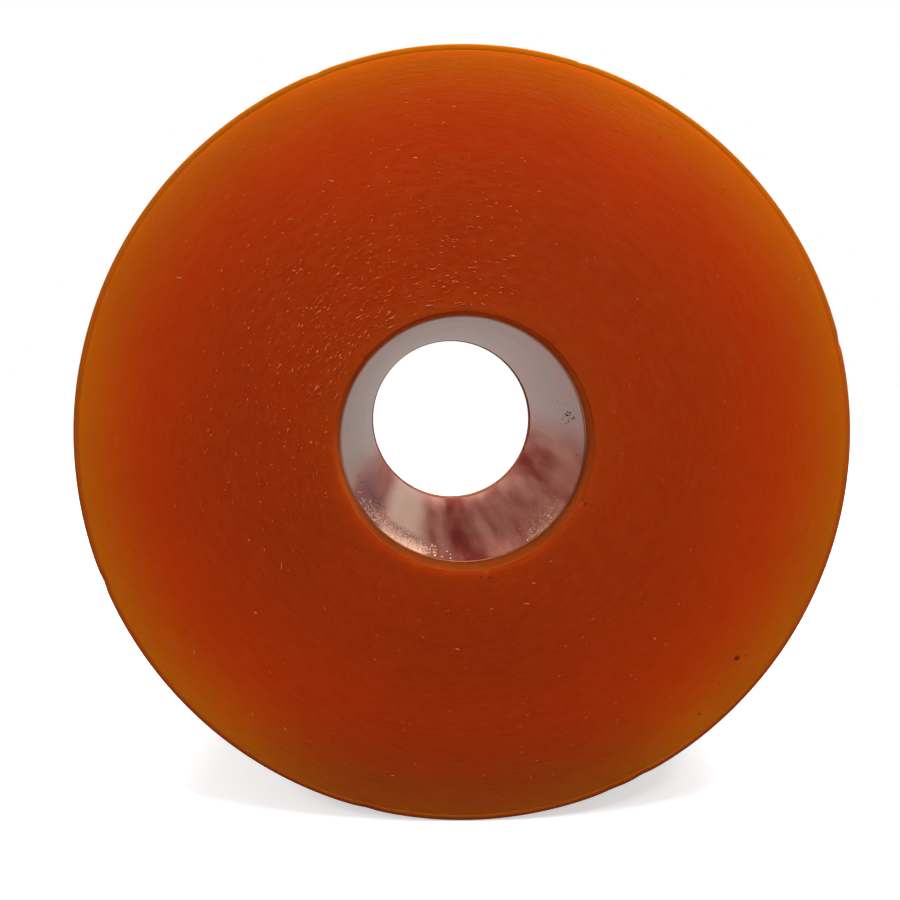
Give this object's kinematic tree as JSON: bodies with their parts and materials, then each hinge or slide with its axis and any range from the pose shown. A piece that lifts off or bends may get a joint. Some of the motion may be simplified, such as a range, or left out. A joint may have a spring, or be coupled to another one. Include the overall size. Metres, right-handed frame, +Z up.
{
  "type": "chair caster wheel",
  "caption": "Wide solid polyurethane caster wheel with flat faces, cast round a plain metal bore sleeve that turns on an axle.",
  "frame": {"origin": "centre of the wheel, on the axle line halfway between the two faces", "axes": "+Y along the axle line, towards the face turned away from the usual view; +Z up, with the wheel upright as it runs on its axle"},
  "size_m": [0.076, 0.065, 0.076],
  "materials": {
    "polyurethane": "satin",
    "sleeve_metal": "polished"
  },
  "bodies": {
    "root": {"tread_body": "polyurethane", "bore_sleeve": "sleeve_metal"}
  },
  "joints": []
}
